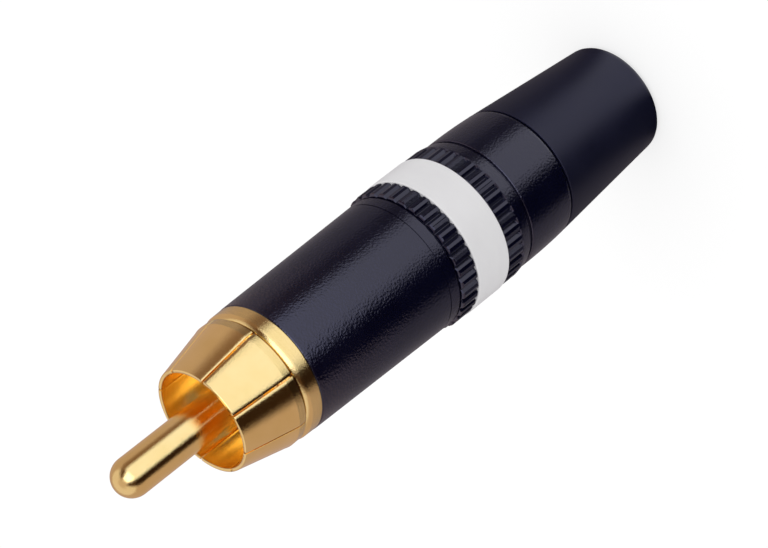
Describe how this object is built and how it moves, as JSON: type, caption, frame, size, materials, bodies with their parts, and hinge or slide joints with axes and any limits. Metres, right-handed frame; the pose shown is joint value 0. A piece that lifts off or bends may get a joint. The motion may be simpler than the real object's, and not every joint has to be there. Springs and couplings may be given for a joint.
{
  "type": "rca plug",
  "caption": "Solder-type RCA cable plug: gold pin and slotted ground sleeve on a black metal shell, with a white colour ring, a knurled rear nut and a tapering cable boot.",
  "frame": {"origin": "centre of the flat end of the boot, where the plug stands", "axes": "+Z runs along the plug from the boot to the tip of the pin; a slot of the ground sleeve lies on +X"},
  "size_m": [0.0124, 0.0124, 0.0571],
  "materials": {
    "gold_plate": "polished gold plating",
    "tinned_tag": "stamped and plated",
    "insulator_plastic": "moulded",
    "tube_plastic": "extruded",
    "black_coat": "satin with a fine orange peel",
    "ring_plastic": "smooth moulded",
    "chuck_plastic": "moulded",
    "boot_plastic": "matt"
  },
  "bodies": {
    "nut": {"rear_nut": "black_coat", "boot": "boot_plastic"},
    "clamp": {"colour_ring": "ring_plastic", "cable_chuck": "chuck_plastic"},
    "shell": {"front_shell": "black_coat"},
    "liner": {"insulating_tube": "tube_plastic"},
    "contact": {"ground_sleeve": "gold_plate", "insulator": "insulator_plastic", "centre_pin": "gold_plate", "ground_tag": "tinned_tag"}
  },
  "joints": [
    {"name": "nut_turn", "type": "hinge", "parent": "nut", "child": "clamp", "pos_m": [0, 0, 0.0205], "axis": [0, 0, 1], "range_deg": [0, 1800]},
    {"name": "nut_lift", "type": "slide", "parent": "clamp", "child": "shell", "axis": [0, 0, 1], "range_m": [0, 0.00375]},
    {"name": "contact_turn", "type": "hinge", "parent": "shell", "child": "liner", "pos_m": [0, 0, 0.0412], "axis": [0, 0, 1], "range_deg": [0, 1800]},
    {"name": "contact_lift", "type": "slide", "parent": "liner", "child": "contact", "axis": [0, 0, 1], "range_m": [0, 0.00375]}
  ],
  "couplings": [
    {"joint": "nut_turn", "follows": "nut_lift", "rad_per_m": 8377.6},
    {"joint": "contact_turn", "follows": "contact_lift", "rad_per_m": 8377.6}
  ]
}
